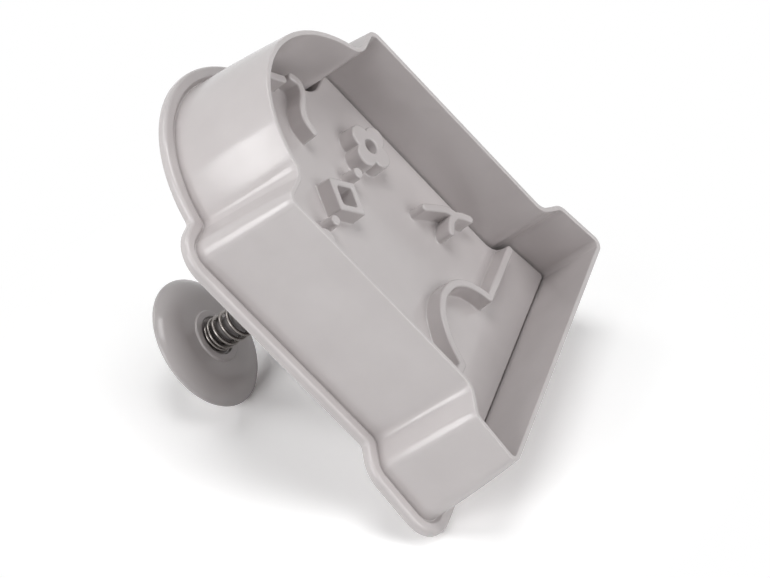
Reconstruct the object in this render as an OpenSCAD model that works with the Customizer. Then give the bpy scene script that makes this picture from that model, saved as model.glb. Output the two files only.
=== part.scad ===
// Plunger cutter with an arched outline on a stepped base.
// +Z points from the cutting edge to the thumb knob, +Y to the arch.
// The origin lies at the middle of the outline, in the plane of the cutting edge.

/* [Outline] */
// Width between the straight sides
body_w = 50; // [49:1:54]
// Width of the base at its foot
foot_w = 62.2; // [61:0.2:65]
// Width of the base where its sides end
base_top_w = 59.4; // [58:0.2:60.4]
// Height of the base's sides
base_h = 10.7; // [9:0.1:13]
// Rise of the slanted step between base and body
step_rise = 3; // [2.4:0.1:4]
// Height of the shoulders above the foot
shoulder_h = 57.3; // [55:0.1:60]
// Half width of the arch at its widest
arch_rx = 19; // [17:0.1:19.4]
// Rise of the arch above its centre
arch_ry = 20.7; // [19:0.1:22]
// Full length from the foot to the top of the arch
length = 71.2; // [70:0.1:74]
// Corner radius at the foot of the base
foot_r = 1.8; // [1.4:0.1:3]
// Corner radius at the step's two corners
step_r = 2.6; // [1.4:0.1:2.8]
// Corner radius at the shoulders and the arch's feet
shoulder_r = 2.8; // [1.4:0.1:3]

/* [Wall and flange] */
// Height of the wall from the cutting edge to the flange
wall_h = 20; // [18:0.5:24]
// Thickness of the wall at the cutting edge
edge_t = 0.85; // [0.7:0.05:1.1]
// How far the outer face leans out over the wall's height
wall_flare = 1.5; // [1:0.1:2]
// Width of the flange outside the wall
flange_w = 2.6; // [2:0.1:2.8]
// Thickness of the flange and of the back plate
flange_t = 1.9; // [1.6:0.1:2.6]

/* [Guide] */
// Place of the plunger's axis along the length, from the middle
axis_y = -0.6; // [-1.5:0.1:1]
// Radius of the plunger's stem
stem_r = 2; // [1.8:0.1:2.2]
// Radial clearance of the stem in its guide
guide_gap = 0.05; // [0.03:0.01:0.1]
// Outer radius of the guide tower
tower_r = 5.2; // [4.8:0.1:6]
// Height of the guide tower above the back plate
tower_h = 5.4; // [4.6:0.2:7]
// Depth of the spring's seat in the tower
seat_depth = 2; // [1:0.5:3]

/* [Stamp] */
// Depth of the stamp's face behind the cutting edge at rest
stamp_depth = 12.7; // [12:0.1:14]
// Gap between the stamp and the wall
stamp_gap = 0.25; // [0.2:0.05:0.5]
// How much lower the stamp's shoulders and step lie than the wall's
stamp_drop = 0.7; // [0.2:0.1:1]
// Thickness of the stamp's plate
plate_t = 2; // [1.6:0.1:2.6]
// Thickness of the stamp's skirt
skirt_t = 1.2; // [1:0.1:1.6]
// Height of the raised lines above the stamp's face
relief_h = 3.2; // [1.5:0.1:4]
// Width of the raised lines
relief_w = 1.7; // [1.2:0.1:2.2]
// Radius of the stamp's central boss
boss_r = 4.6; // [4:0.1:5.4]

/* [Spring] */
// Diameter of the spring's wire
wire_d = 0.7; // [0.5:0.05:0.8]
// Outer diameter of the spring
spring_d = 6.2; // [6:0.1:6.4]
// Turns that open and close
open_turns = 12; // [9:1:13]
// Closed turns at each end
closed_turns = 1.6; // [1:0.2:2]

/* [Knob] */
// Radius of the knob
knob_r = 12; // [11:0.1:13]
// Height of the knob's spring seat above the cutting edge
knob_z = 50.1; // [49:0.1:54]
// Radius of the knob's hub
hub_r = 5.1; // [4.6:0.1:5.6]
// How far the hub stands proud of the underside
hub_h = 1.15; // [0.8:0.05:1.6]
// Radius of the underside's curve up to the rim
saucer_r = 8.6; // [8:0.1:12]
// Radius of the stem's head in the knob
head_r = 3.4; // [3:0.1:3.8]

/* [Hidden] */

plastic = [0.78, 0.76, 0.75];
steel = [0.7, 0.7, 0.72];
overlap = 0.4;
spare = 1;
press = 0.02;
bore_fn = 96;
corner_steps = 5;
arch_steps = 11;
arch_foot_turn = 16;
least_corner_r = 0.25;
least_hollow_r = 1.2;
spring_clearance = 0.3;
skirt_gap = 0.4;
boss_gap = 0.2;
socket_floor = 1.2;
web_t = 1.1;

// Levels along the axis
back_in_z = wall_h;
back_out_z = wall_h + flange_t;
tower_z = back_out_z + tower_h;
seat_z = tower_z - seat_depth;
plate_back_z = stamp_depth + plate_t;
skirt_z = back_in_z - skirt_gap;
boss_z = back_in_z - boss_gap;
socket_z = stamp_depth + socket_floor;
relief_z = stamp_depth - relief_h;
head_z = knob_z + web_t;

// Heights along Y, measured from the middle of the outline
foot_y = -length / 2;
arch_y = length / 2 - arch_ry;
base_y = foot_y + base_h;
step_y = base_y + step_rise;
shoulder_y = foot_y + shoulder_h;

// Corners of the right half, counter-clockwise from the middle of the foot,
// with the step and the shoulders lowered by drop
function half_corners(drop) = [
    [0, foot_y],
    [foot_w / 2, foot_y],
    [base_top_w / 2, base_y - drop],
    [body_w / 2, step_y - drop],
    [body_w / 2, shoulder_y - drop],
    [arch_rx, shoulder_y - drop]
];

function unit(v) = v / norm(v);
function out_normal(p, q) = unit([q[1] - p[1], p[0] - q[0]]);
function turn(v) = atan2(v[1], v[0]);
function least_turn(a) = a > 180 ? a - 360 : a < -180 ? a + 360 : a;

// The corner at q of the path p, q, s when both its sides move out by d
function moved(p, q, s, d) =
    let (m = out_normal(p, q), n = out_normal(q, s))
    q + d * (m + n) / (1 + m * n);

// Points of the round corner of radius r at q between p and s
function rounded(p, q, s, r, steps = corner_steps) =
    let (
        u = unit(p - q),
        v = unit(s - q),
        opening = acos(u * v) / 2,
        centre = q + unit(u + v) * r / sin(opening),
        reach = r / tan(opening),
        a = turn(q + u * reach - centre),
        b = least_turn(turn(q + v * reach - centre) - a)
    )
    [for (i = [0:steps]) centre + r * [cos(a + b * i / steps), sin(a + b * i / steps)]];

function arch_point(a, d) = [(arch_rx + d) * cos(a), arch_y + (arch_ry + d) * sin(a)];
function arch_foot(d, drop) = asin((shoulder_y - drop + d - arch_y) / (arch_ry + d));

// Right half of the outline moved out by d, from the foot's corner to the top
function half_outline(d, drop) =
    let (
        h = half_corners(drop),
        start = arch_foot(d, drop),
        first = start + arch_foot_turn,
        c = [for (i = [1:4]) moved(h[i - 1], h[i], h[i + 1], d)],
        foot = arch_point(start, d),
        up = arch_point(first, d),
        corner = function (r) max(r + d, least_corner_r),
        hollow = function (r) max(r - d, least_hollow_r)
    )
    concat(
        rounded([0, c[0][1]], c[0], c[1], corner(foot_r)),
        rounded(c[0], c[1], c[2], corner(step_r)),
        rounded(c[1], c[2], c[3], hollow(step_r)),
        rounded(c[2], c[3], foot, corner(shoulder_r)),
        rounded(c[3], foot, up, hollow(shoulder_r)),
        [for (i = [0:arch_steps]) arch_point(first + (90 - first) * i / arch_steps, d)]
    );

function outline(d, drop = 0) =
    let (right = half_outline(d, drop), last = len(right) - 2)
    concat(right, [for (i = [last:-1:0]) [-right[i][0], right[i][1]]]);

// Solid between two outlines with the same number of points
module loft(low, low_z, high, high_z) {
    n = len(low);
    polyhedron(
        points = concat(
            [for (p = low) [p[0], p[1], low_z]],
            [for (p = high) [p[0], p[1], high_z]]
        ),
        faces = concat(
            [[for (i = [0:n - 1]) i], [for (i = [n - 1:-1:0]) n + i]],
            [for (i = [0:n - 1]) [i, n + i, n + (i + 1) % n]],
            [for (i = [0:n - 1]) [i, n + (i + 1) % n, (i + 1) % n]]
        )
    );
}

module slab(points, low_z, high_z) {
    translate([0, 0, low_z]) linear_extrude(high_z - low_z) polygon(points);
}

// Round solid on the plunger's axis, or at another place
module disc(r, low_z, high_z, at = [0, axis_y]) {
    translate([at[0], at[1], low_z]) cylinder(h = high_z - low_z, r = r, $fn = bore_fn);
}

// The cutting wall with its flange, back plate and guide tower, one moulding
module cutter_shell() {
    // The lofted wall ends inside the flange, and a flat cut makes the cutting edge
    high_z = back_in_z + flange_t * 0.6;
    color(plastic)
    difference() {
        union() {
            loft(
                outline(-wall_flare * spare / wall_h), -spare,
                outline(wall_flare * high_z / wall_h), high_z
            );
            slab(outline(wall_flare + flange_w), back_in_z, back_out_z);
            disc(tower_r, back_out_z - overlap, tower_z);
        }
        slab([[-foot_w, -length], [foot_w, -length], [foot_w, length], [-foot_w, length]],
            -2 * spare, 0);
        slab(outline(-edge_t), -spare, back_in_z);
        disc(stem_r + guide_gap, back_in_z - spare, tower_z + spare);
        disc(spring_d / 2 + spring_clearance, seat_z, tower_z + spare);
    }
}

// Points of a curve that passes through all the given points
function through(p, steps = 4) =
    let (n = len(p))
    concat(
        [for (i = [0:n - 2], k = [0:steps - 1])
            let (
                t = k / steps,
                a = p[max(i - 1, 0)],
                b = p[i],
                c = p[i + 1],
                e = p[min(i + 2, n - 1)]
            )
            b + (c - a) * t / 2 + (2 * a - 5 * b + 4 * c - e) * t * t / 2
                + (3 * b - a - 3 * c + e) * t * t * t / 2],
        [p[n - 1]]
    );

// One side of a line of width w along the points p
function line_side(p, w) =
    let (n = len(p))
    [for (i = [0:n - 1])
        i == 0 ? p[0] + out_normal(p[0], p[1]) * w / 2
        : i == n - 1 ? p[i] + out_normal(p[i - 1], p[i]) * w / 2
        : moved(p[i - 1], p[i], p[i + 1], w / 2)];

function reversed(p) = [for (i = [len(p) - 1:-1:0]) p[i]];

// Points of the round end of a line of width w that arrives at q from p
function line_tip(p, q, w) =
    let (a = turn(q - p))
    [for (b = [-60:30:60]) q + w / 2 * [cos(a + b), sin(a + b)]];

// A raised line with round ends along the points p
module ridge(p, w = relief_w) {
    n = len(p);
    slab(
        concat(
            line_side(p, w), line_tip(p[n - 2], p[n - 1], w),
            line_side(reversed(p), w), line_tip(p[1], p[0], w)
        ),
        relief_z, stamp_depth + overlap
    );
}

// Ground line from side to side of the body, with a mound in its middle
ground_y = -24.6;
ground_margin = 1.6;
ground_x = body_w / 2 - ground_margin;
mound = [
    [-9.3, ground_y], [-8.6, -22], [-7.2, -19.4], [-4.6, -17.2], [-1, -16.3],
    [1.5, -16.7], [4.2, -18], [7.2, -20.9], [9.4, ground_y]
];
// Cracks in the face
arch_crack = [[-12.1, 26.4], [-12.5, 24.7], [-11.1, 23.1], [-8.4, 22], [-6.7, 20.6], [-6, 18.2]];
top_crack = [[-10, 27.5], [-8.8, 29.1], [-7.4, 31]];
fork = [-18.8, -12.3];
fork_arms = [
    [[-13.9, -6.3], [-16.6, -8.8], [-18.2, -10.6], fork],
    [[-14.6, -12.8], [-16.7, -12.1], fork],
    [[-21, -15.1], [-20, -13.5], fork]
];
// Row of ornament across the body
row_y = 7.7;
row_x = 14.8;
dot_x = 6.9;
dot_r = 1.15;
petal_r = 2.3;
petal_at = 2.4;
petal_eye_r = 1.2;
lozenge = [4, 4.8];
lozenge_eye = 0.52;

module flower(x) {
    difference() {
        union() {
            for (a = [0:90:270])
                disc(petal_r, relief_z, stamp_depth + overlap,
                    [x + petal_at * cos(a), row_y + petal_at * sin(a)]);
        }
        disc(petal_eye_r, relief_z - spare, stamp_depth, [x, row_y]);
    }
}

function lozenge_points(k) = [
    [lozenge[0] * k, row_y],
    [0, row_y + lozenge[1] * k],
    [-lozenge[0] * k, row_y],
    [0, row_y - lozenge[1] * k]
];

module lozenge_ring() {
    difference() {
        slab(lozenge_points(1), relief_z, stamp_depth + overlap);
        slab(lozenge_points(lozenge_eye), relief_z - spare, stamp_depth);
    }
}

module relief() {
    ridge([[-ground_x, ground_y], mound[0]]);
    ridge(through(mound));
    ridge([mound[len(mound) - 1], [ground_x, ground_y]]);
    ridge(through(arch_crack));
    ridge(through(top_crack));
    for (arm = fork_arms) ridge(through(arm));
    for (side = [-1, 1]) {
        flower(side * row_x);
        disc(dot_r, relief_z, stamp_depth + overlap, [side * dot_x, row_y]);
    }
    lozenge_ring();
}

// The embossing plate with its raised lines, skirt and stem socket
module stamp_plate() {
    edge_d = -edge_t - stamp_gap;
    color(plastic)
    difference() {
        union() {
            difference() {
                slab(outline(edge_d, stamp_drop), stamp_depth, skirt_z);
                slab(outline(edge_d - skirt_t, stamp_drop), plate_back_z, skirt_z + spare);
            }
            disc(boss_r, plate_back_z - overlap, boss_z);
            relief();
        }
        disc(stem_r - press, socket_z, boss_z + spare);
    }
}

module plunger_stem() {
    color(plastic) {
        disc(stem_r, socket_z, head_z + overlap);
        disc(head_r, head_z, knob_top_z(0));
    }
}

// Level of the spring wire's centre after t turns
spring_end_gap = 0.05;
spring_low = seat_z + wire_d / 2;
spring_high = knob_z - spring_end_gap - wire_d / 2;
closed_gap = 0.06;
closed_pitch = wire_d + closed_gap;
closed_rise = closed_turns * closed_pitch;
open_pitch = (spring_high - spring_low - 2 * closed_rise) / open_turns;
all_turns = open_turns + 2 * closed_turns;

function coil_z(t) =
    t < closed_turns ? spring_low + t * closed_pitch
    : t > all_turns - closed_turns ? spring_high - (all_turns - t) * closed_pitch
    : spring_low + closed_rise + (t - closed_turns) * open_pitch;

coil_steps = 16;
wire_sides = 6;

// Round steel wire wound in a helix, with closed ends
module return_spring() {
    r = (spring_d - wire_d) / 2;
    rings = round(all_turns * coil_steps);
    wire_r = wire_d / 2;
    points = [for (i = [0:rings], k = [0:wire_sides - 1])
        let (a = 360 * i / coil_steps, b = 360 * k / wire_sides, rr = r + wire_r * cos(b))
        [rr * cos(a), axis_y + rr * sin(a), coil_z(i / coil_steps) + wire_r * sin(b)]];
    last = rings * wire_sides;
    color(steel)
    polyhedron(
        points = points,
        faces = concat(
            [[for (k = [wire_sides - 1:-1:0]) k], [for (k = [0:wire_sides - 1]) last + k]],
            [for (i = [0:rings - 1], k = [0:wire_sides - 1])
                let (m = (k + 1) % wire_sides, at = i * wire_sides)
                [at + k, at + m, at + wire_sides + m]],
            [for (i = [0:rings - 1], k = [0:wire_sides - 1])
                let (m = (k + 1) % wire_sides, at = i * wire_sides)
                [at + k, at + wire_sides + m, at + wire_sides + k]]
        )
    );
}

// Section of the knob: a thin saucer with a hub below
rim_r = 0.5;
crest_h = 0.3;
hub_round = 0.6;
hub_fillet = 0.25;
seat_chamfer = 0.2;
flat_r = 7;
under_z = knob_z - crest_h + hub_h;
rim_angle = asin((knob_r - rim_r - flat_r) / (saucer_r + rim_r));
rim_z = under_z + saucer_r - (saucer_r + rim_r) * cos(rim_angle) + 2 * rim_r;
dish_depth = 1.2;
dish_r = ((knob_r - 2 * rim_r) ^ 2 + dish_depth ^ 2) / (2 * dish_depth);

function knob_top_z(r) = rim_z + rim_r - dish_depth + dish_r - sqrt(dish_r ^ 2 - r ^ 2);

module thumb_knob() {
    seat_r = spring_d / 2 + spring_clearance;
    under = [for (a = [0:6:rim_angle])
        [flat_r + saucer_r * sin(a), under_z + saucer_r * (1 - cos(a))]];
    rim = [for (a = [-60:20:90])
        [knob_r - rim_r + rim_r * cos(a), rim_z + rim_r * sin(a)]];
    dish = [for (i = [8:-1:0]) let (r = (knob_r - 2 * rim_r) * i / 8) [r, knob_top_z(r)]];
    hub = [for (a = [0:15:90])
        [hub_r - hub_round + hub_round * sin(a),
            knob_z - crest_h + hub_round - hub_round * cos(a)]];
    color(plastic)
    difference() {
        translate([0, axis_y, 0])
            rotate_extrude($fn = bore_fn)
                polygon(concat(
                    [[0, knob_z], [seat_r, knob_z], [seat_r + seat_chamfer, knob_z - crest_h]],
                    hub,
                    [[hub_r, under_z - hub_fillet], [hub_r + hub_fillet, under_z]],
                    under, rim, dish
                ));
        disc(stem_r + guide_gap, knob_z - spare, rim_z);
        disc(head_r + guide_gap, head_z, rim_z + spare);
    }
}

cutter_shell();
stamp_plate();
plunger_stem();
return_spring();
thumb_knob();
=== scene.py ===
from math import acos, asin, atan2, cos, pi, sin, sqrt, tan

import bmesh
import bpy
from mathutils import Matrix, Vector


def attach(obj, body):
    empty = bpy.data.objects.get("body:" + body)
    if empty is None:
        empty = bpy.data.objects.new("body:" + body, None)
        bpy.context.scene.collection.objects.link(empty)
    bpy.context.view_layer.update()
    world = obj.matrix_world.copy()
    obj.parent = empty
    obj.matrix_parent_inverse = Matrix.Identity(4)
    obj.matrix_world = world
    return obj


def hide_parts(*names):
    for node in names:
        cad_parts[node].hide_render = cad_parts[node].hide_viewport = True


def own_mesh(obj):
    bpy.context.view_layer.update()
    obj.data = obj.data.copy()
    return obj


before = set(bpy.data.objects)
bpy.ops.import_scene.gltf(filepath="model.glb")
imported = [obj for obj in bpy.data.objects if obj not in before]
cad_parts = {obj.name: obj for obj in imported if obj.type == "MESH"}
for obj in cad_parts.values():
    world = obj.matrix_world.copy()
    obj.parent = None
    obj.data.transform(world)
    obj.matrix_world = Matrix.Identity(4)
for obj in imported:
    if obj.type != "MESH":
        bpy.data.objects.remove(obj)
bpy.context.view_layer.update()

# All lengths below are in millimetres, in the same frame as the part, unless a name says otherwise
MM = 0.001
scene = bpy.context.scene
scene.view_settings.view_transform = "Standard"

# Camera at the photograph's viewing angle
CAMERA_AT = Vector((539.634, 195.989, -379.486))
CAMERA_RIGHT = Vector((-0.260441, -0.66579, -0.699209))
CAMERA_UP = Vector((-0.582267, 0.685993, -0.436324))
CAMERA_BACK = Vector((0.770153, 0.29349, -0.566329))
LENS, SENSOR_WIDTH = 196.36, 36
CLIP_NEAR_M, CLIP_FAR_M = 0.01, 20


def make_camera():
    data = bpy.data.cameras.new("camera")
    data.sensor_width = SENSOR_WIDTH
    data.lens = LENS
    data.clip_start, data.clip_end = CLIP_NEAR_M, CLIP_FAR_M
    cam = bpy.data.objects.new("camera", data)
    scene.collection.objects.link(cam)
    turn = Matrix((CAMERA_RIGHT, CAMERA_UP, CAMERA_BACK)).transposed().to_4x4()
    cam.matrix_world = Matrix.Translation(CAMERA_AT * MM) @ turn
    scene.camera = cam


make_camera()

# The outline: a stepped base, a body with shoulders and an arch
BODY_W, FOOT_W, BASE_TOP_W = 50, 62.2, 59.4
BASE_H, STEP_RISE, SHOULDER_H, LENGTH = 10.7, 3, 57.3, 71.2
ARCH_RX, ARCH_RY = 19, 20.7
FOOT_R, STEP_R, SHOULDER_R, ARCH_FOOT_R = 1.8, 2.6, 2.0, 2.8
FOLD_CORNER_R, FOLD_HOLLOW_R = 3.0, 1.6
LEAST_CORNER_R, LEAST_HOLLOW_R = 0.25, 1.2

# The wall, its flange and its edges. The wall's outer side bows out, and a groove in the flange
# follows it. The trim keeps the flange's fine curves within the part's coarser ones.
EDGE_T, FLARE, WALL_H, BOW = 0.85, 1.5, 20, 0.2
FLANGE_W, FLANGE_T, FLANGE_TRIM = 2.6, 1.9, 0.05
GROOVE_DEPTH, GROOVE_W, GROOVE_FLOOR_W = 0.5, 0.7, 0.2
EDGE_R, FLANGE_EDGE_R, PLATE_FILLET_R = 0.2, 0.62, 0.6

# The plunger's axis, the stem and its guide
AXIS_Y, STEM_R, GUIDE_GAP, PRESS = -0.6, 2, 0.05, 0.02
TOWER_R, TOWER_H, SEAT_DEPTH = 5.2, 5.4, 2

# The stamp, which lies STAMP_DEPTH inside the cutting edge
STAMP_DEPTH, STAMP_GAP, STAMP_DROP = 12.7, 0.25, 0.7
PLATE_T, SKIRT_T, RELIEF_H, RELIEF_W, BOSS_R = 2, 1.2, 3.2, 1.7, 4.6

# The spring and the knob above it
WIRE_D, SPRING_D, OPEN_TURNS, CLOSED_TURNS = 0.7, 6.2, 12, 1.6
KNOB_R, KNOB_Z, HUB_R, SAUCER_R, HEAD_R = 12, 50.1, 4.8, 5.5, 3.4
SEAT_R = SPRING_D / 2 + 0.3

BACK_IN_Z = WALL_H
BACK_OUT_Z = WALL_H + FLANGE_T
TOWER_Z = BACK_OUT_Z + TOWER_H
SEAT_Z = TOWER_Z - SEAT_DEPTH
PLATE_BACK_Z = STAMP_DEPTH + PLATE_T
SKIRT_Z, BOSS_Z = BACK_IN_Z - 0.4, BACK_IN_Z - 0.2
SOCKET_Z = STAMP_DEPTH + 1.2
RELIEF_Z = STAMP_DEPTH - RELIEF_H
HEAD_Z = KNOB_Z + 1.1

FOOT_Y = -LENGTH / 2
ARCH_Y = LENGTH / 2 - ARCH_RY
BASE_Y = FOOT_Y + BASE_H
STEP_Y = BASE_Y + STEP_RISE
SHOULDER_Y = FOOT_Y + SHOULDER_H

CORNER_STEPS = 10
ARCH_STEPS = 44
TURN_STEPS = 96


def out_normal(p, q):
    return Vector((q.y - p.y, p.x - q.x)).normalized()


def heading(v):
    return atan2(v.y, v.x)


def arc(centre, r, start, turn, steps):
    return [
        centre + r * Vector((cos(start + turn * i / steps), sin(start + turn * i / steps)))
        for i in range(steps + 1)
    ]


def moved(p, q, s, d):
    """The corner at q of the path p, q, s when both its sides move out by d."""
    m, n = out_normal(p, q), out_normal(q, s)
    return q + (m + n) * d / (1 + m.dot(n))


def rounded(p, q, s, r, steps=CORNER_STEPS):
    """Points of the round corner of radius r at q between p and s."""
    u, v = (p - q).normalized(), (s - q).normalized()
    opening = acos(max(-1, min(1, u.dot(v)))) / 2
    centre = q + (u + v).normalized() * r / sin(opening)
    reach = r / tan(opening)
    start = heading(q + u * reach - centre)
    turn = (heading(q + v * reach - centre) - start + pi) % (2 * pi) - pi
    return arc(centre, r, start, turn, steps)


def arch_point(a, d):
    return Vector(((ARCH_RX + d) * cos(a), ARCH_Y + (ARCH_RY + d) * sin(a)))


def arch_hollow(d, y, r):
    """Round hollow corner between the shoulder at height y and the arch.

    Also gives the arch's angle at which the two meet.
    """

    def centre(a):
        out = Vector((cos(a) / (ARCH_RX + d), sin(a) / (ARCH_RY + d))).normalized()
        return arch_point(a, d) + out * r

    low, high = 0.0, pi / 2
    for _ in range(40):
        mid = (low + high) / 2
        low, high = (mid, high) if centre(mid).y < y + r else (low, mid)
    c = centre(low)
    end = heading(arch_point(low, d) - c)
    start = -pi / 2
    turn = (end - start + pi) % (2 * pi) - pi
    return arc(c, r, start, turn, CORNER_STEPS), low


def outline(d, drop=0, fold=0):
    """The cutter's outline moved out by d, with the step and the shoulders lowered by drop.

    fold goes from 0 to 1, where the step and the shoulders have the radii of the wall's folds
    at the flange.
    """

    def corner(r):
        return max(r + d, LEAST_CORNER_R) * (1 - fold) + FOLD_CORNER_R * fold

    def hollow(r):
        return max(r - d, LEAST_HOLLOW_R) * (1 - fold) + FOLD_HOLLOW_R * fold

    h = [
        Vector(p)
        for p in (
            (0, FOOT_Y),
            (FOOT_W / 2, FOOT_Y),
            (BASE_TOP_W / 2, BASE_Y - drop),
            (BODY_W / 2, STEP_Y - drop),
            (BODY_W / 2, SHOULDER_Y - drop),
            (ARCH_RX, SHOULDER_Y - drop),
        )
    ]
    c = [moved(h[i - 1], h[i], h[i + 1], d) for i in range(1, 5)]
    foot, up = Vector((0, c[0].y)), Vector((0, c[3].y))
    arch_foot, first = arch_hollow(d, c[3].y, hollow(ARCH_FOOT_R))
    rest = pi / 2 - first
    arch = [arch_point(first + rest * i / ARCH_STEPS, d) for i in range(1, ARCH_STEPS + 1)]
    right = (
        rounded(foot, c[0], c[1], max(FOOT_R + d, LEAST_CORNER_R))
        + rounded(c[0], c[1], c[2], corner(STEP_R))
        + rounded(c[1], c[2], c[3], hollow(STEP_R))
        + rounded(c[2], c[3], up, corner(SHOULDER_R))
        + arch_foot
        + arch
    )
    return right + [Vector((-p.x, p.y)) for p in reversed(right[:-1])]


def soft_path(points, radii, steps=5):
    """The path through the points, with a round corner of the given radius at each inner one."""
    points = [Vector(p) for p in points]
    out = [points[0]]
    for p, q, s, r in zip(points, points[1:], points[2:], radii):
        out += rounded(p, q, s, r, steps) if r else [q]
    return out + [points[-1]]


# Points closer than this, in metres, become one; the weight makes flat faces stay flat in shading
WELD_M = 2e-7
FACE_WEIGHT = 80


class Mesh:
    """A mesh that is built from rings of points."""

    def __init__(self):
        self.bm = bmesh.new()

    def ring(self, points, z):
        return [self.bm.verts.new(Vector((p.x, p.y, z)) * MM) for p in points]

    def bridge(self, a, b):
        n = len(a)
        for i in range(n):
            j = (i + 1) % n
            self.bm.faces.new((a[i], a[j], b[j], b[i]))

    def tube(self, rings):
        """Joins rings, each (points, z), in order, and gives the first and the last."""
        made = [self.ring(*r) for r in rings]
        for a, b in zip(made, made[1:]):
            self.bridge(a, b)
        return made[0], made[-1]

    def fill(self, *loops):
        """A flat face inside the first loop and outside the others."""
        edges = []
        for loop in loops:
            for a, b in zip(loop, loop[1:] + loop[:1]):
                edges.append(self.bm.edges.get((a, b)) or self.bm.edges.new((a, b)))
        bmesh.ops.triangle_fill(self.bm, edges=edges, use_beauty=True)

    def finish(self, name, material, body, nodes, shade=True):
        bmesh.ops.remove_doubles(self.bm, verts=self.bm.verts, dist=WELD_M)
        bmesh.ops.recalc_face_normals(self.bm, faces=self.bm.faces)
        mesh = bpy.data.meshes.new(name)
        self.bm.to_mesh(mesh)
        self.bm.free()
        mesh.polygons.foreach_set("use_smooth", [True] * len(mesh.polygons))
        mesh.materials.append(material)
        piece = bpy.data.objects.new(name, mesh)
        scene.collection.objects.link(piece)
        if shade:
            even = piece.modifiers.new("even_normals", "WEIGHTED_NORMAL")
            even.weight = FACE_WEIGHT
            even.keep_sharp = False
        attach(piece, body)
        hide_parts(*nodes)
        return piece


def circle(r, at=(0, AXIS_Y), steps=TURN_STEPS):
    return arc(Vector(at), r, 0, 2 * pi, steps)[:-1]


def lathe_rings(section, at=(0, AXIS_Y), steps=TURN_STEPS):
    """Rings of a turned form whose section is a path of (radius, z)."""
    return [(circle(max(p.x, 0), at, steps), p.y) for p in section]


# Materials: the darkest and lightest tints and the smoothest and roughest spots of each
PLASTIC_TINTS = (0.58, 0.544, 0.542), (0.62, 0.584, 0.582)
PLASTIC_ROUGHNESS = 0.12, 0.2
# The steel's tints are darkened to paint the shade and dark reflections on the coils, and the
# streaks vary at random between them
STEEL_STREAKS_AND_PAINTED_SHADE = (0.13, 0.115, 0.11), (0.34, 0.32, 0.30)
STEEL_ROUGHNESS = 0.18, 0.36
# Painted shade: the knob's tint is darkened for the shell's shadow on it, and the stem's for the
# shade between the spring's coils
KNOB_PAINTED_SHADE, STEM_PAINTED_SHADE = 0.88, 0.4


def grey_plastic(name, offset, shade=1):
    """Moulded plastic. The offset keeps the pieces' noise apart, and the shade darkens the tint to
    paint shade on pieces that lie in shadow.
    """
    material = bpy.data.materials.new(name)
    material.use_nodes = True
    nodes, links = material.node_tree.nodes, material.node_tree.links
    shader = nodes["Principled BSDF"]
    shader.inputs["IOR"].default_value = 1.5

    place = nodes.new("ShaderNodeTexCoord")
    shift = nodes.new("ShaderNodeMapping")
    shift.inputs["Location"].default_value = offset
    links.new(place.outputs["Object"], shift.inputs["Vector"])

    def noise(scale, detail):
        n = nodes.new("ShaderNodeTexNoise")
        n.inputs["Scale"].default_value = scale
        n.inputs["Detail"].default_value = detail
        links.new(shift.outputs["Vector"], n.inputs["Vector"])
        return n.outputs["Fac"]

    def spread(source, low, high, a, b):
        m = nodes.new("ShaderNodeMapRange")
        m.inputs["From Min"].default_value = low
        m.inputs["From Max"].default_value = high
        m.inputs["To Min"].default_value = a
        m.inputs["To Max"].default_value = b
        links.new(source, m.inputs["Value"])
        return m.outputs["Result"]

    tint = nodes.new("ShaderNodeValToRGB")
    for stop, position, colour in zip(tint.color_ramp.elements, (0.3, 0.7), PLASTIC_TINTS):
        stop.position = position
        stop.color = [c * shade for c in colour] + [1]
    links.new(noise(90, 3), tint.inputs["Fac"])
    links.new(tint.outputs["Color"], shader.inputs["Base Color"])
    links.new(spread(noise(260, 4), 0.3, 0.7, *PLASTIC_ROUGHNESS), shader.inputs["Roughness"])

    def bump(strength, distance_m, height):
        b = nodes.new("ShaderNodeBump")
        b.inputs["Strength"].default_value = strength
        b.inputs["Distance"].default_value = distance_m
        links.new(height, b.inputs["Height"])
        return b

    waves = bump(0.25, 0.0004, noise(70, 1))
    grain = bump(0.12, 0.00004, noise(5200, 2))
    links.new(waves.outputs["Normal"], grain.inputs["Normal"])
    links.new(grain.outputs["Normal"], shader.inputs["Normal"])
    return material


def drawn_steel(name):
    """Drawn wire with streaks along it, laid out by the uv map of the wire's mesh. Its tints are
    darkened below real steel to paint shade and dark reflections.
    """
    material = bpy.data.materials.new(name)
    material.use_nodes = True
    nodes, links = material.node_tree.nodes, material.node_tree.links
    shader = nodes["Principled BSDF"]
    shader.inputs["Metallic"].default_value = 1
    place = nodes.new("ShaderNodeUVMap")
    place.uv_map = "wire"
    stretch = nodes.new("ShaderNodeMapping")
    stretch.inputs["Scale"].default_value = (0.15, 14, 1)
    links.new(place.outputs["UV"], stretch.inputs["Vector"])
    streak = nodes.new("ShaderNodeTexNoise")
    streak.inputs["Scale"].default_value = 2.4
    streak.inputs["Detail"].default_value = 4
    links.new(stretch.outputs["Vector"], streak.inputs["Vector"])
    tint = nodes.new("ShaderNodeValToRGB")
    for stop, colour in zip(tint.color_ramp.elements, STEEL_STREAKS_AND_PAINTED_SHADE):
        stop.color = (*colour, 1)
    links.new(streak.outputs["Fac"], tint.inputs["Fac"])
    links.new(tint.outputs["Color"], shader.inputs["Base Color"])
    rough = nodes.new("ShaderNodeMapRange")
    rough.inputs["To Min"].default_value, rough.inputs["To Max"].default_value = STEEL_ROUGHNESS
    links.new(streak.outputs["Fac"], rough.inputs["Value"])
    links.new(rough.outputs["Result"], shader.inputs["Roughness"])
    bump = nodes.new("ShaderNodeBump")
    bump.inputs["Strength"].default_value = 0.2
    bump.inputs["Distance"].default_value = 0.00002
    links.new(streak.outputs["Fac"], bump.inputs["Height"])
    links.new(bump.outputs["Normal"], shader.inputs["Normal"])
    return material


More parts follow.
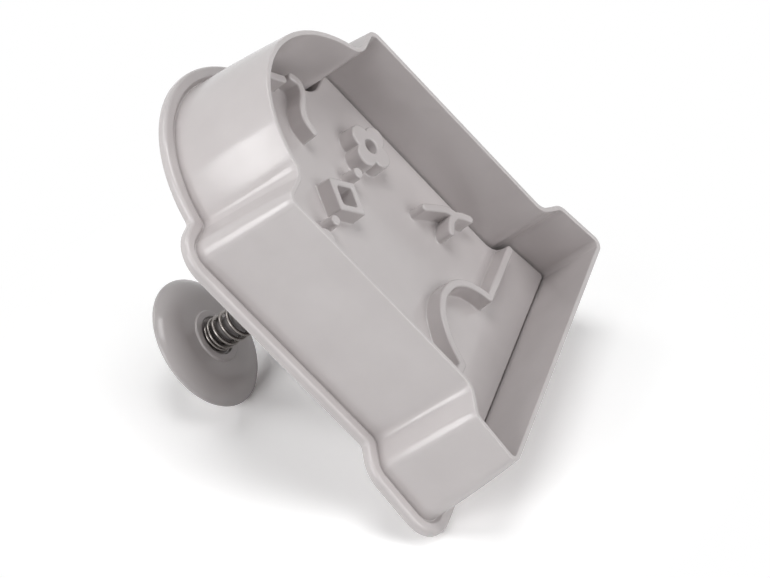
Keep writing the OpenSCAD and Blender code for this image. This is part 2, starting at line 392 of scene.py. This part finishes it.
SHELL_LOOK = grey_plastic("shell_look", (0, 0, 0))
STAMP_LOOK = grey_plastic("stamp_look", (0.31, 0.17, 0.05))
# The knob and the stem are shaded copies of the same plastic, darkened to paint the shade that
# falls on them
KNOB_PAINTED_SHADE_LOOK = grey_plastic("knob_painted_shade_look", (0.07, 0.42, 0.23), KNOB_PAINTED_SHADE)
STEM_PAINTED_SHADE_LOOK = grey_plastic("stem_painted_shade_look", (0.07, 0.42, 0.23), STEM_PAINTED_SHADE)
STEEL_LOOK = drawn_steel("steel_look")


def wall_d(z):
    """How far the wall's outer side stands out from the outline at height z."""
    t = z / WALL_H
    return FLARE * t + 4 * BOW * t * (1 - t)


def make_shell():
    """The cutting wall with its flange, back plate and guide tower."""
    m = Mesh()
    flange_d = FLARE + FLANGE_W - FLANGE_TRIM
    ledge_d = flange_d - FLANGE_EDGE_R
    reach = ledge_d - FLARE
    inside = soft_path(
        [(-EDGE_T - 3, BACK_IN_Z), (-EDGE_T, BACK_IN_Z), (-EDGE_T, 0), (0, 0), (wall_d(1), 1)],
        [PLATE_FILLET_R, EDGE_R, EDGE_R],
    )[:-1]
    low = inside[-1].y
    steps = 16
    heights = [low + (WALL_H - low) * i / steps for i in range(1, steps + 1)]
    wall = [Vector((wall_d(z), z)) for z in heights]
    groove = soft_path(
        [
            wall[-1],
            (FLARE, BACK_IN_Z + GROOVE_DEPTH),
            (FLARE + GROOVE_FLOOR_W, BACK_IN_Z + GROOVE_DEPTH),
            (FLARE + GROOVE_W, BACK_IN_Z),
            (ledge_d - 0.05, BACK_IN_Z),
        ],
        [0.08, 0.1, 0.4],
    )[1:]
    edge = soft_path(
        [
            (ledge_d - 0.04, BACK_IN_Z),
            (flange_d, BACK_IN_Z),
            (flange_d, BACK_OUT_Z),
            (FLARE, BACK_OUT_Z),
        ],
        [FLANGE_EDGE_R, FLANGE_EDGE_R],
        8,
    )[1:]
    inner, outer = m.tube(
        [(outline(p.x), p.y) for p in inside]
        + [(outline(p.x, fold=p.y / WALL_H), p.y) for p in wall]
        + [(outline(p.x, fold=(ledge_d - p.x) / reach), p.y) for p in groove]
        + [(outline(p.x), p.y) for p in edge]
    )
    guide = soft_path(
        [
            (TOWER_R + 3, BACK_OUT_Z),
            (TOWER_R, BACK_OUT_Z),
            (TOWER_R, TOWER_Z),
            (SEAT_R, TOWER_Z),
            (SEAT_R, SEAT_Z),
            (STEM_R + GUIDE_GAP, SEAT_Z),
            (STEM_R + GUIDE_GAP, BACK_IN_Z),
            (STEM_R + 1.5, BACK_IN_Z),
        ],
        [0.8, 0.5, 0.3, 0.2, 0.25, 0.25],
    )
    back, front = m.tube(lathe_rings(guide))
    m.fill(outer, back)
    m.fill(inner, front)
    return m.finish("shell", SHELL_LOOK, "shell", ["cutter_shell"])


# The stamp's raised lines: e is the distance from a line's own side wall
RELIEF_DRAFT, RELIEF_FOOT_R, RELIEF_TOP_R = 0.13, 0.3, 0.36
RELIEF_SKIRT, RELIEF_SINK, RELIEF_LIFT = 0.7, 0.5, 0.01
END_STEPS = 12


def relief_section(inset, lift=0):
    """Path of (e, z) from a buried skirt, up the drafted side and over the edge, to e = -inset."""
    top = RELIEF_Z - lift
    return soft_path(
        [
            (RELIEF_SKIRT, STAMP_DEPTH + RELIEF_SINK),
            (RELIEF_SKIRT, STAMP_DEPTH + 0.03),
            (0, STAMP_DEPTH),
            (-RELIEF_DRAFT, top),
            (-inset, top),
        ],
        [0, RELIEF_FOOT_R, RELIEF_TOP_R],
    )


def curve_through(points, steps=8):
    """Points of a smooth curve through all the given points."""
    p = [Vector(v) for v in points]
    n = len(p)
    out = []
    for i in range(n - 1):
        a, b, c, e = p[max(i - 1, 0)], p[i], p[i + 1], p[min(i + 2, n - 1)]
        for k in range(steps):
            t = k / steps
            out.append(
                b
                + (c - a) * t / 2
                + (2 * a - 5 * b + 4 * c - e) * t * t / 2
                + (3 * b - a - 3 * c + e) * t * t * t / 2
            )
    return out + [p[-1]]


def line_loop(path, half):
    """Closed loop round a line with round ends, at the distance half from its middle."""
    ahead = [path[min(i + 1, len(path) - 1)] - path[max(i - 1, 0)] for i in range(len(path))]
    normals = [Vector((v.y, -v.x)).normalized() for v in ahead]
    right = [p + n * half for p, n in zip(path, normals)]
    left = [p - n * half for p, n in zip(path, normals)]
    end = arc(path[-1], half, heading(normals[-1]), pi, END_STEPS)[1:-1]
    start = arc(path[0], half, heading(normals[0]) + pi, pi, END_STEPS)[1:-1]
    return right + end + left[::-1] + start


def add_line(m, points, lift):
    """A raised line. The lift keeps the tops of lines that meet out of one plane."""
    path = curve_through(points)
    half = RELIEF_W / 2
    rings = [(line_loop(path, half + p.x), p.y) for p in relief_section(half, lift)]
    bottom = [(line_loop(path, 0), rings[0][1])]
    m.tube(bottom + rings)


# The ornament in a row across the stamp: two flowers, two dots and a lozenge
ROW_Y, FLOWER_X, DOT_X, DOT_R, EYE_R = 7.7, 14.8, 6.9, 1.15, 1.2
PETAL_R, PETAL_AT, PETAL_STEPS = 2.3, 2.4, 23
LOZENGE_W, LOZENGE_H, LOZENGE_HOLE, LOZENGE_R, LOZENGE_LEAST_R = 4.0, 4.8, 0.52, 0.5, 0.2
RING_INSET = 0.6


def flower_loop(x, e):
    """Four petals round one middle, moved out by e."""
    r, at = PETAL_R + e, PETAL_AT
    k = (2 * at + sqrt(4 * at * at - 8 * (at * at - r * r))) / 4
    reach = atan2(k, k - at)
    loop = []
    for quarter in range(4):
        a = quarter * pi / 2
        centre = Vector((x + at * cos(a), ROW_Y + at * sin(a)))
        loop += arc(centre, r, a - reach, 2 * reach, PETAL_STEPS)[:-1]
    return loop


def eye_loop(x, e):
    """The round hole of a flower, with a point for each of the flower's own."""
    return arc(Vector((x, ROW_Y)), EYE_R - e, -pi / 4, 2 * pi, 4 * PETAL_STEPS)[:-1]


def lozenge_loop(k, e):
    """The lozenge at k times its size, moved out by e."""
    w, h = LOZENGE_W * k, LOZENGE_H * k
    y = ROW_Y
    corners = [Vector(v) for v in ((w, y), (0, y + h), (-w, y), (0, y - h))]
    far = e * sqrt(w * w + h * h)
    grown = [c + Vector((c.x / w * far / h, (c.y - y) / h * far / w)) for c in corners]
    r = max(LOZENGE_R + e, LOZENGE_LEAST_R)
    loop = []
    for i in range(4):
        loop += rounded(grown[i - 1], grown[i], grown[(i + 1) % 4], r, 8)
    return loop


def add_ring(m, outer, inner):
    """A raised ring between an outer and an inner loop, each a function of e."""
    section = relief_section(RING_INSET)
    m_out = [(outer(p.x), p.y) for p in section]
    m_in = [(inner(p.x), p.y) for p in reversed(section)]
    made = [m.ring(*r) for r in m_out + m_in]
    for a, b in zip(made, made[1:] + made[:1]):
        m.bridge(a, b)


# A ground line with a mound on it, a curl in the arch and a fork beside the body's wall
GROUND_Y = -24.6
GROUND_X = BODY_W / 2 - 1.6
MOUND = [
    (-9.3, GROUND_Y), (-8.6, -22), (-7.2, -19.4), (-4.6, -17.2), (-1, -16.3),
    (1.5, -16.7), (4.2, -18), (7.2, -20.9), (9.4, GROUND_Y),
]
FORK = (-18.8, -12.3)
LINES = [
    [(-GROUND_X, GROUND_Y), MOUND[0]],
    MOUND,
    [MOUND[-1], (GROUND_X, GROUND_Y)],
    [(-12.1, 26.4), (-12.5, 24.7), (-11.1, 23.1), (-8.4, 22), (-6.7, 20.6), (-6, 18.2)],
    [(-10, 27.5), (-8.8, 29.1), (-7.4, 31)],
    [(-13.9, -6.3), (-16.6, -8.8), (-18.2, -10.6), FORK],
    [(-14.6, -12.8), (-16.7, -12.1), FORK],
    [(-21, -15.1), (-20, -13.5), FORK],
]


def make_stamp():
    """The embossing plate with its skirt, its boss for the stem and its raised lines."""
    m = Mesh()
    edge_d = -EDGE_T - STAMP_GAP
    skirt_d = edge_d - SKIRT_T
    side = soft_path(
        [
            (edge_d - 1.5, STAMP_DEPTH),
            (edge_d, STAMP_DEPTH),
            (edge_d, SKIRT_Z),
            (skirt_d, SKIRT_Z),
            (skirt_d, PLATE_BACK_Z),
            (skirt_d - 2, PLATE_BACK_Z),
        ],
        [0.45, 0.2, 0.2, 0.5],
    )
    face, back = m.tube([(outline(p.x, STAMP_DROP), p.y) for p in side])
    boss = soft_path(
        [
            (BOSS_R + 2, PLATE_BACK_Z),
            (BOSS_R, PLATE_BACK_Z),
            (BOSS_R, BOSS_Z),
            (STEM_R - PRESS, BOSS_Z),
            (STEM_R - PRESS, SOCKET_Z),
            (0, SOCKET_Z),
        ],
        [0.6, 0.3, 0.1, 0.1],
    )
    around, _ = m.tube(lathe_rings(boss))
    m.fill(face)
    m.fill(back, around)
    for i, points in enumerate(LINES):
        add_line(m, points, RELIEF_LIFT * (i % 3))
    for side_x in (-1, 1):
        x = side_x * FLOWER_X
        add_ring(m, lambda e: flower_loop(x, e), lambda e: eye_loop(x, e))
        dot = [Vector((0, STAMP_DEPTH + RELIEF_SINK))] + [
            Vector((DOT_R + p.x, p.y)) for p in relief_section(DOT_R)
        ]
        m.tube(lathe_rings(dot, (side_x * DOT_X, ROW_Y), 48))
    add_ring(m, lambda e: lozenge_loop(1, e), lambda e: lozenge_loop(LOZENGE_HOLE, -e))
    return m.finish("stamp", STAMP_LOOK, "plunger", ["stamp_plate"])


# The thumb knob: a dished saucer with a round underside and a low hub
RIM_R, CREST_H, FLAT_R, DISH_DEPTH = 0.5, 0.5, 7.4, 1.2
UNDER_Z = KNOB_Z - 0.12
RIM_ANGLE = asin((KNOB_R - RIM_R - FLAT_R) / (SAUCER_R - RIM_R))
RIM_Z = UNDER_Z + SAUCER_R - (SAUCER_R - RIM_R) * cos(RIM_ANGLE)
DISH_R = ((KNOB_R - 2 * RIM_R) ** 2 + DISH_DEPTH**2) / (2 * DISH_DEPTH)


def knob_top_z(r):
    """The height of the knob's dish at the radius r."""
    return RIM_Z + RIM_R - DISH_DEPTH + DISH_R - sqrt(DISH_R**2 - r * r)


def make_knob():
    """The knob, as one turned section that starts and ends at the stem's hole."""
    m = Mesh()
    saucer = [
        Vector((FLAT_R + SAUCER_R * sin(a), UNDER_Z + SAUCER_R * (1 - cos(a))))
        for a in (RIM_ANGLE * i / 14 for i in range(15))
    ]
    hub = soft_path(
        [
            (STEM_R + GUIDE_GAP, KNOB_Z),
            (SEAT_R, KNOB_Z),
            (SEAT_R + 0.2, KNOB_Z - CREST_H),
            (HUB_R, KNOB_Z - CREST_H),
            (HUB_R, UNDER_Z),
            (FLAT_R, UNDER_Z),
        ],
        [0.08, 0.08, 0.2, 0.15],
    )[:-1]
    rim = arc(Vector((KNOB_R - RIM_R, RIM_Z)), RIM_R, RIM_ANGLE - pi / 2, pi - RIM_ANGLE, 12)[1:]
    dish = [
        Vector((r, knob_top_z(r)))
        for r in ((KNOB_R - 2 * RIM_R) * (1 - i / 18) for i in range(19))
        if r > HEAD_R + 0.3
    ]
    r = HEAD_R + GUIDE_GAP
    top = soft_path(
        [
            (r + 0.3, knob_top_z(r)),
            (r, knob_top_z(r)),
            (r, HEAD_Z),
            (STEM_R + GUIDE_GAP, HEAD_Z),
            (STEM_R + GUIDE_GAP, KNOB_Z),
        ],
        [0.12, 0.1, 0],
    )[:-1]
    section = hub + saucer + rim + dish + top
    made = [m.ring(*ring) for ring in lathe_rings(section)]
    for a, b in zip(made, made[1:] + made[:1]):
        m.bridge(a, b)
    return m.finish("knob", KNOB_PAINTED_SHADE_LOOK, "plunger", ["thumb_knob"])


def make_stem():
    """The stem, from the stamp's socket to its head in the knob's dish."""
    m = Mesh()
    top = knob_top_z(0)
    section = soft_path(
        [
            (0, SOCKET_Z),
            (STEM_R, SOCKET_Z),
            (STEM_R, HEAD_Z),
            (HEAD_R, HEAD_Z),
            (HEAD_R, top),
            (0, top),
        ],
        [0.3, 0, 0.1, 0.15],
    )
    m.tube(lathe_rings(section))
    stem = m.finish("stem", STEM_PAINTED_SHADE_LOOK, "plunger", ["plunger_stem"])
    # The head has the knob's look, with the knob's lighter painted shade instead of the stem's
    # darker one
    stem.data.materials.append(KNOB_PAINTED_SHADE_LOOK)
    for face in stem.data.polygons:
        face.material_index = int(face.center.z > (HEAD_Z - 0.01) * MM)
    return stem


# The coil spring, wound from round wire with closed ends
SPRING_LOW = SEAT_Z + WIRE_D / 2
SPRING_HIGH = KNOB_Z - 0.05 - WIRE_D / 2
CLOSED_PITCH = WIRE_D + 0.06
CLOSED_RISE = CLOSED_TURNS * CLOSED_PITCH
OPEN_PITCH = (SPRING_HIGH - SPRING_LOW - 2 * CLOSED_RISE) / OPEN_TURNS
ALL_TURNS = OPEN_TURNS + 2 * CLOSED_TURNS


def coil_z(t):
    """The height of the wire's middle after t turns."""
    if t < CLOSED_TURNS:
        return SPRING_LOW + t * CLOSED_PITCH
    if t > ALL_TURNS - CLOSED_TURNS:
        return SPRING_HIGH - (ALL_TURNS - t) * CLOSED_PITCH
    return SPRING_LOW + CLOSED_RISE + (t - CLOSED_TURNS) * OPEN_PITCH


def make_spring():
    m = Mesh()
    coil_steps, sides, dt = 40, 14, 0.01
    r = (SPRING_D - WIRE_D) / 2
    count = round(ALL_TURNS * coil_steps)
    rings = []
    for i in range(count + 1):
        t = i / coil_steps
        a = 2 * pi * t
        out = Vector((cos(a), sin(a), 0))
        along = Vector((-sin(a), cos(a), 0))
        slope = (coil_z(t + dt) - coil_z(t - dt)) / (2 * dt * 2 * pi * r)
        up = (Vector((0, 0, 1)) - along * slope).normalized()
        centre = Vector((0, AXIS_Y, coil_z(t))) + out * r
        rings.append(
            [
                m.bm.verts.new((centre + (out * cos(b) + up * sin(b)) * WIRE_D / 2) * MM)
                for b in (2 * pi * k / sides for k in range(sides))
            ]
        )
    uv = m.bm.loops.layers.uv.new("wire")
    for i in range(count):
        for k in range(sides):
            j = (k + 1) % sides
            face = m.bm.faces.new((rings[i][k], rings[i][j], rings[i + 1][j], rings[i + 1][k]))
            spots = ((i, k), (i, k + 1), (i + 1, k + 1), (i + 1, k))
            for loop, (row, column) in zip(face.loops, spots):
                loop[uv].uv = (row / coil_steps * 2 * pi * r, column / sides)
    for end in (rings[0], rings[-1]):
        m.bm.faces.new(end)
    return m.finish("spring", STEEL_LOOK, "shell", ["return_spring"], shade=False)


make_shell()
make_stamp()
make_knob()
make_stem()
spring = make_spring()
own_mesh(spring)

# The table that the object lies on: it touches the flange's edge at the foot and the knob's rim
BEAD_R = FLANGE_T / 2
BEAD = Vector((0, FOOT_Y - FLARE - FLANGE_W + BEAD_R, BACK_IN_Z + BEAD_R))
RIM = Vector((0, AXIS_Y - KNOB_R + RIM_R, RIM_Z))
REACH = (RIM - BEAD).length
ALONG = (RIM - BEAD).normalized()
ACROSS = Vector((0, ALONG.z, -ALONG.y))
LEAN = (RIM_R - BEAD_R) / REACH
TABLE_UP = ACROSS * sqrt(1 - LEAN * LEAN) + ALONG * LEAN
TABLE_AT = BEAD - TABLE_UP * BEAD_R
TABLE_RIGHT = (CAMERA_RIGHT - TABLE_UP * CAMERA_RIGHT.dot(TABLE_UP)).normalized()
TABLE_AWAY = TABLE_UP.cross(TABLE_RIGHT)


def white_for_camera(nodes, links, plain, white):
    """The shader that camera, glossy and transmission rays see as white, and others as plain."""
    path = nodes.new("ShaderNodeLightPath")
    seen = path.outputs["Is Camera Ray"]
    for name in ("Is Glossy Ray", "Is Transmission Ray"):
        most = nodes.new("ShaderNodeMath")
        most.operation = "MAXIMUM"
        links.new(seen, most.inputs[0])
        links.new(path.outputs[name], most.inputs[1])
        seen = most.outputs[0]
    mix = nodes.new("ShaderNodeMixShader")
    links.new(seen, mix.inputs["Fac"])
    links.new(plain, mix.inputs[1])
    links.new(white, mix.inputs[2])
    return mix.outputs["Shader"]


# The lamps point at MIDDLE, and the floor's fade is centred below it
MIDDLE = Vector((0, 0, WALL_H))
WHITE = (1, 1, 1, 1)
FLOOR_COLOUR = (0.82, 0.82, 0.82, 1)
# A second coat that only the camera, reflections and glass see: it turns the lit floor white.
# For them the floor also turns to an even white between these two distances.
FLOOR_COAT = (0.56, 0.56, 0.56, 1)
FADE_FROM, FADE_TO = 32, 72
FLOOR_HALF = 2500


def make_floor():
    material = bpy.data.materials.new("floor_look")
    material.use_nodes = True
    nodes, links = material.node_tree.nodes, material.node_tree.links
    nodes.clear()
    pale = nodes.new("ShaderNodeBsdfDiffuse")
    pale.inputs["Color"].default_value = FLOOR_COLOUR
    coat = nodes.new("ShaderNodeBsdfDiffuse")
    coat.inputs["Color"].default_value = FLOOR_COAT
    coated = nodes.new("ShaderNodeAddShader")
    links.new(pale.outputs["BSDF"], coated.inputs[0])
    links.new(coat.outputs["BSDF"], coated.inputs[1])
    glow = nodes.new("ShaderNodeEmission")
    glow.inputs["Color"].default_value = WHITE
    glow.inputs["Strength"].default_value = 1
    below = MIDDLE - TABLE_UP * (MIDDLE - TABLE_AT).dot(TABLE_UP)
    place = nodes.new("ShaderNodeTexCoord")
    away = nodes.new("ShaderNodeVectorMath")
    away.operation = "DISTANCE"
    away.inputs[1].default_value = below * MM
    links.new(place.outputs["Object"], away.inputs[0])
    fade = nodes.new("ShaderNodeMapRange")
    fade.interpolation_type = "SMOOTHSTEP"
    fade.inputs["From Min"].default_value = FADE_FROM * MM
    fade.inputs["From Max"].default_value = FADE_TO * MM
    links.new(away.outputs["Value"], fade.inputs["Value"])
    white = nodes.new("ShaderNodeMixShader")
    links.new(fade.outputs["Result"], white.inputs["Fac"])
    links.new(coated.outputs["Shader"], white.inputs[1])
    links.new(glow.outputs["Emission"], white.inputs[2])
    shown = white_for_camera(nodes, links, pale.outputs["BSDF"], white.outputs["Shader"])
    # From below, the floor is clear
    side = nodes.new("ShaderNodeNewGeometry")
    clear = nodes.new("ShaderNodeBsdfTransparent")
    one_side = nodes.new("ShaderNodeMixShader")
    links.new(side.outputs["Backfacing"], one_side.inputs["Fac"])
    links.new(shown, one_side.inputs[1])
    links.new(clear.outputs["BSDF"], one_side.inputs[2])
    out = nodes.new("ShaderNodeOutputMaterial")
    links.new(one_side.outputs["Shader"], out.inputs["Surface"])

    mesh = bpy.data.meshes.new("floor")
    corners = [
        (TABLE_AT + (TABLE_RIGHT * x + TABLE_AWAY * y) * FLOOR_HALF) * MM
        for x, y in ((-1, -1), (1, -1), (1, 1), (-1, 1))
    ]
    mesh.from_pydata(corners, [], [(0, 1, 2, 3)])
    mesh.materials.append(material)
    floor = bpy.data.objects.new("floor", mesh)
    scene.collection.objects.link(floor)


def make_world():
    world = bpy.data.worlds.new("studio")
    scene.world = world
    world.use_nodes = True
    nodes, links = world.node_tree.nodes, world.node_tree.links
    nodes.clear()
    plain = nodes.new("ShaderNodeBackground")
    plain.inputs["Strength"].default_value = 0
    white = nodes.new("ShaderNodeBackground")
    white.inputs["Color"].default_value = WHITE
    white.inputs["Strength"].default_value = 1
    shown = white_for_camera(
        nodes, links, plain.outputs["Background"], white.outputs["Background"]
    )
    out = nodes.new("ShaderNodeOutputWorld")
    links.new(shown, out.inputs["Surface"])


# Lamps: name, the direction that each stands in and the one that its length runs in, both as
# (right, away, up) over the table, length, width and watts. The streak makes the long highlights.
LAMP_DISTANCE = 600
LAMPS = [
    ("streak", (-0.885, -0.39, 0.275), (0.24, -0.85, -0.48), 320, 90, 0.6),
    ("top", (0.05, -0.05, 1), (1, 0, 0), 320, 320, 1.5),
    ("right", (0.82, -0.38, 0.42), (0, 1, 0), 450, 450, 1.8),
    ("back_left", (-0.6, 0.3, 0.74), (0, 1, 0), 250, 250, 0.6),
    ("front_left", (-0.54, -0.7, 0.48), (1, 0, 0), 300, 300, 1.3),
]


def on_table(right, away, up):
    """A direction given over the table, in the part's own axes."""
    return TABLE_RIGHT * right + TABLE_AWAY * away + TABLE_UP * up


def make_lamps():
    for name, direction, along, length, width, watts in LAMPS:
        z = on_table(*direction).normalized()
        x = on_table(*along)
        x = (x - z * x.dot(z)).normalized()
        data = bpy.data.lights.new(name, "AREA")
        data.shape = "RECTANGLE"
        data.size, data.size_y = length * MM, width * MM
        data.energy = watts
        lamp = bpy.data.objects.new(name, data)
        scene.collection.objects.link(lamp)
        turn = Matrix((x, z.cross(x), z)).transposed().to_4x4()
        lamp.matrix_world = Matrix.Translation((MIDDLE + z * LAMP_DISTANCE) * MM) @ turn


make_floor()
make_world()
make_lamps()
